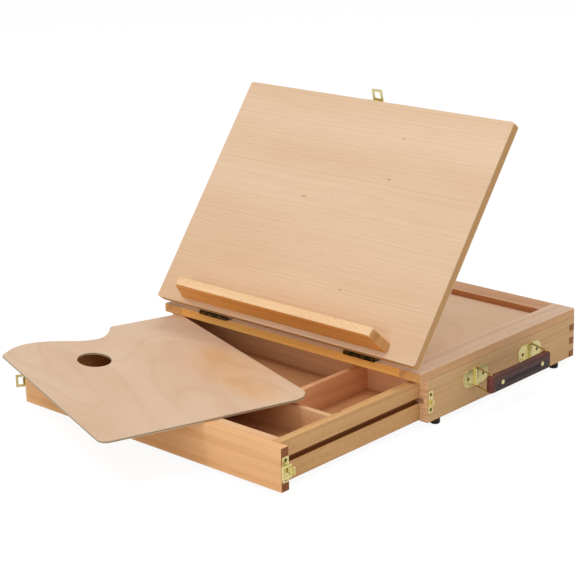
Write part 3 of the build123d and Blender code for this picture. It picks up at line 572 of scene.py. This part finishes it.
# Painted shade: the screw heads are a dark brass throughout, standing in for the shade in their cross
# recesses.
shaded_screw_brass = plated_brass("shaded_screw_brass", "8C7440", "5C4822", 0.3)
ring_brass = plated_brass("ring_brass", "C9B068", "8E7434", 0.16)
bronze = aged_hinge()
BRASS_PIECES = ("latch_", "catch_plate", "handle_plates", "handle_rivets", "prop_leaves", "prop_hinge_pins")
for node in nodes:
    if node.startswith("hinge_"):
        wear(node, bronze)
    elif node.startswith(BRASS_PIECES):
        wear(node, brass)
    elif node.startswith("handle_ring") or node == "prop_foot_bar":
        wear(node, ring_brass)
    elif node.endswith("_screws"):
        # Painted shade: the screws take the dark brass.
        wear(node, shaded_screw_brass)
wear("foot_nails", nail_steel())
wear("rubber_feet", foot_rubber())


# ------------------------------------------------------------------ leather grip, in millimetres
GRIP_SPACING = 105.0
GRIP_HALF_THICK = 5.2
GRIP_HALF_HEIGHT = 9.6
GRIP_SIDES = 36
LENGTH_CUT_PITCH = 3.5
LENGTH_CUTS = 15
HEIGHT_CUTS = (0.05, 0.12, 0.22, 0.34, 0.5, 0.68, 0.8, 0.9, 0.97)
RIVET_REACH = 38.25
CREASE_DEPTH, CREASE_RISE = 0.24, (0.05, 0.34)
CREASE_STOP = (RIVET_REACH - 8.0, RIVET_REACH - 2.5)
RIM_DEPTH, RIM_RISE = 0.34, (0.72, 1.0)
RING_BORE = 1.3
BORE_SIDES = 20
BORE_LENGTH = 60.0
TOP_BOW = 1.2

STITCH_SIDES = 8
STITCH_RADIUS = 0.3
STITCH_LENGTH = 1.6
STITCH_TIP = 0.35
STITCH_TIP_SIZE = 0.45
STITCH_PITCH = 3.6
STITCHES_EACH_WAY = 13
STITCH_ROW = 0.8
STITCH_STAND = 0.02
WELD_DISTANCE = 0.000001


def smooth_step(low, high, value):
    part = min(max((value - low) / (high - low), 0.0), 1.0)
    return part * part * (3 - 2 * part)


def strap_fullness(x, z):
    """The grip's thickness at a place on its side, as a share of its full thickness."""
    rise = abs(z) / GRIP_HALF_HEIGHT
    crease = (1.0 - smooth_step(*CREASE_RISE, rise)) * (1.0 - smooth_step(*CREASE_STOP, abs(x)))
    rim = smooth_step(*RIM_RISE, rise)
    return 1.0 - CREASE_DEPTH * crease - RIM_DEPTH * rim * rim


def strap_lift(x, z):
    """How far the upper half sags between the two rings."""
    bow = TOP_BOW * (1.0 - (x / (GRIP_SPACING / 2)) ** 2)
    return -max(bow, 0.0) * max(z, 0.0) / GRIP_HALF_HEIGHT


def choose(*pieces):
    """Selects these pieces and nothing else, and makes the first one active."""
    bpy.ops.object.select_all(action="DESELECT")
    for piece in pieces:
        piece.select_set(True)
    bpy.context.view_layer.objects.active = pieces[0]


def rod(sides, radius, length, **place):
    """A new cylinder on its own, measured in millimetres."""
    bpy.ops.object.select_all(action="DESELECT")
    bpy.ops.mesh.primitive_cylinder_add(vertices=sides, radius=radius * MM, depth=length * MM, **place)
    return bpy.context.object


def settle(obj):
    """Gives a finished piece its place in its mesh, its outward normals and smooth shading."""
    choose(obj)
    bpy.ops.object.mode_set(mode="EDIT")
    bpy.ops.mesh.select_all(action="SELECT")
    bpy.ops.mesh.remove_doubles(threshold=WELD_DISTANCE)
    bpy.ops.mesh.normals_make_consistent(inside=False)
    bpy.ops.object.mode_set(mode="OBJECT")
    obj.data.transform(Matrix.Translation(GRIP_PLACE) @ Matrix.Rotation(math.pi / 2, 4, "Z"))
    bpy.ops.object.shade_smooth()


def cut_rows(strap):
    """Cuts rows of vertices across the strap's length and its height."""
    bpy.ops.object.mode_set(mode="EDIT")
    steps = range(-LENGTH_CUTS, LENGTH_CUTS + 1)
    cuts = [((step * LENGTH_CUT_PITCH * MM, 0, 0), (1, 0, 0)) for step in steps]
    shares = [-share for share in reversed(HEIGHT_CUTS)] + [0.0, *HEIGHT_CUTS]
    cuts += [((0, 0, share * GRIP_HALF_HEIGHT * MM), (0, 0, 1)) for share in shares]
    for place, way in cuts:
        bpy.ops.mesh.select_all(action="SELECT")
        bpy.ops.mesh.bisect(plane_co=place, plane_no=way)
    bpy.ops.object.mode_set(mode="OBJECT")


def leather_grip():
    """An oval strap, pressed in along its middle and its rims, sagging on top, bored for the rings."""
    strap = rod(GRIP_SIDES, GRIP_HALF_THICK, 2 * GRIP_HALF_HEIGHT)
    strap.name = "leather_grip"
    for vertex in strap.data.vertices:
        if abs(vertex.co.x) > WELD_DISTANCE:
            vertex.co.x += math.copysign(GRIP_SPACING / 2 * MM, vertex.co.x)
    cut_rows(strap)
    for vertex in strap.data.vertices:
        x, y, z = (part / MM for part in vertex.co)
        centre = max(-GRIP_SPACING / 2, min(GRIP_SPACING / 2, x))
        full = strap_fullness(x, z)
        vertex.co = Vector((centre + (x - centre) * full, y * full, z + strap_lift(x, z))) * MM
    for side in (-1, 1):
        bore = rod(BORE_SIDES, RING_BORE, BORE_LENGTH, location=(side * GRIP_SPACING / 2 * MM, 0, 0))
        choose(strap)
        cut = strap.modifiers.new("bore", "BOOLEAN")
        cut.operation = "DIFFERENCE"
        cut.object = bore
        bpy.ops.object.modifier_apply(modifier=cut.name)
        bpy.data.objects.remove(bore, do_unlink=True)
    settle(strap)
    strap.data.materials.append(strap_leather())
    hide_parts("handle_grip")
    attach(strap, "grip")


def one_stitch():
    """A short thread that narrows at both ends."""
    stitch = rod(STITCH_SIDES, STITCH_RADIUS, STITCH_LENGTH, rotation=(0, math.pi / 2, 0))
    bpy.ops.object.transform_apply(location=True, rotation=True, scale=True)
    bpy.ops.object.mode_set(mode="EDIT")
    bpy.ops.mesh.select_all(action="DESELECT")
    bpy.ops.object.mode_set(mode="OBJECT")
    for face in stitch.data.polygons:
        face.select = abs(face.normal.x) > 0.9
    bpy.ops.object.mode_set(mode="EDIT")
    bpy.ops.mesh.select_mode(type="FACE")
    bpy.ops.mesh.extrude_faces_move(TRANSFORM_OT_shrink_fatten={"value": STITCH_TIP * MM})
    bpy.ops.transform.resize(value=(1, STITCH_TIP_SIZE, STITCH_TIP_SIZE))
    bpy.ops.object.mode_set(mode="OBJECT")
    return stitch


def grip_stitching():
    """Two rows of stitches on each side of the grip, near its edges."""
    first = one_stitch()
    copies = []
    for row in (-STITCH_ROW, STITCH_ROW):
        for side in (-1, 1):
            for step in range(-STITCHES_EACH_WAY, STITCHES_EACH_WAY + 1):
                x = step * STITCH_PITCH
                z = row * GRIP_HALF_HEIGHT
                y = side * (GRIP_HALF_THICK * strap_fullness(x, z) + STITCH_STAND)
                stitch = first.copy()
                stitch.data = first.data.copy()
                bpy.context.scene.collection.objects.link(stitch)
                stitch.data.transform(Matrix.Translation(Vector((x, y, z + strap_lift(x, z))) * MM))
                copies.append(stitch)
    bpy.data.objects.remove(first, do_unlink=True)
    choose(*copies)
    bpy.ops.object.join()
    rows = bpy.context.object
    rows.name = "grip_stitching"
    settle(rows)
    rows.data.materials.append(waxed_thread())
    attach(rows, "grip")


leather_grip()
grip_stitching()


# ------------------------------------------------------------------ studio
WHITE = (1, 1, 1, 1)
PAPER_WHITE = (0.8, 0.8, 0.8, 1)
FLOOR_SIZE = 30.0
FLOOR_DROP = 0.0002
GLOW_STRENGTH = 1.1
GLOW_SHARE = 0.84
SKY_LIGHT = 0.42
SKY_SEEN = 1.0
# Each softbox: its place, the point that it faces, the length of its side and its power in watts.
SOFTBOXES = {
    "key_light": ((-0.7, -1.7, 2.7), (0, -0.1, 0.1), 0.9, 29),
    "top_light": ((0.9, 0.9, 2.5), (0, 0, 0.05), 1.2, 24),
    "fill_light": ((2.0, -1.2, 1.2), (0, 0, 0.05), 1.6, 5),
    "front_light": ((0.2, -2.6, 0.7), (0, -0.1, 0.05), 1.2, 10),
}


def backdrop_floor():
    """A white paper floor that is plain white to the camera, darkened only by the box's soft shadow."""
    bpy.ops.object.select_all(action="DESELECT")
    bpy.ops.mesh.primitive_plane_add(size=FLOOR_SIZE, location=(0, 0, -FLOOR_DROP))
    floor = bpy.context.object
    floor.name = "floor"
    paper = Finish("floor_paper")
    paper.set(Base_Color=PAPER_WHITE, Roughness=1.0, Specular_IOR_Level=0.0)
    matt = Wire(paper, paper.shader.outputs["BSDF"])
    glow = paper.node("ShaderNodeEmission", {}, {"Color": WHITE, "Strength": GLOW_STRENGTH})
    seen = paper.node("ShaderNodeLightPath", {}, {}, "Is Camera Ray")
    lit = paper.node("ShaderNodeMixShader", {}, {0: seen * GLOW_SHARE, 1: matt, 2: glow})
    paper.feed(paper.output.inputs["Surface"], lit)
    floor.data.materials.append(paper.material)


def studio_sky():
    """White to the camera, and a weaker white as light."""
    world = bpy.data.worlds.new("studio")
    bpy.context.scene.world = world
    world.use_nodes = True
    sky = world.node_tree
    sky.nodes.clear()
    mix = sky.nodes.new("ShaderNodeMixShader")
    for index, strength in ((1, SKY_LIGHT), (2, SKY_SEEN)):
        glow = sky.nodes.new("ShaderNodeBackground")
        glow.inputs["Color"].default_value = WHITE
        glow.inputs["Strength"].default_value = strength
        sky.links.new(glow.outputs[0], mix.inputs[index])
    path = sky.nodes.new("ShaderNodeLightPath")
    sky.links.new(path.outputs["Is Camera Ray"], mix.inputs[0])
    output = sky.nodes.new("ShaderNodeOutputWorld")
    sky.links.new(mix.outputs[0], output.inputs["Surface"])


def softbox(name, place, target, size, power):
    lamp = bpy.data.lights.new(name, "AREA")
    lamp.shape = "SQUARE"
    lamp.size = size
    lamp.energy = power
    holder = bpy.data.objects.new(name, lamp)
    bpy.context.scene.collection.objects.link(holder)
    holder.location = place
    aim = Vector(target) - Vector(place)
    holder.rotation_euler = aim.to_track_quat("-Z", "Y").to_euler()


backdrop_floor()
studio_sky()
for name, settings in SOFTBOXES.items():
    softbox(name, *settings)

# ------------------------------------------------------------------ camera
CAMERA_PLACE = (1.29993, -1.54004, 0.72637)
CAMERA_YAW, CAMERA_PITCH, CAMERA_ROLL = (math.radians(angle) for angle in (42.888, -17.492, -1.26))
SENSOR_WIDTH = 36.0
FOCAL_PIXELS = 1744.579
PICTURE_PIXELS = 576

camera = bpy.data.objects.new("camera", bpy.data.cameras.new("camera"))
bpy.context.scene.collection.objects.link(camera)
look = (Matrix.Rotation(CAMERA_YAW, 3, "Z") @ Matrix.Rotation(math.pi / 2 + CAMERA_PITCH, 3, "X")
        @ Matrix.Rotation(CAMERA_ROLL, 3, "Z"))
camera.rotation_euler = look.to_euler()
camera.location = CAMERA_PLACE
camera.data.sensor_width = SENSOR_WIDTH
camera.data.lens = SENSOR_WIDTH * FOCAL_PIXELS / PICTURE_PIXELS
bpy.context.scene.camera = camera
bpy.context.scene.view_settings.view_transform = "Standard"
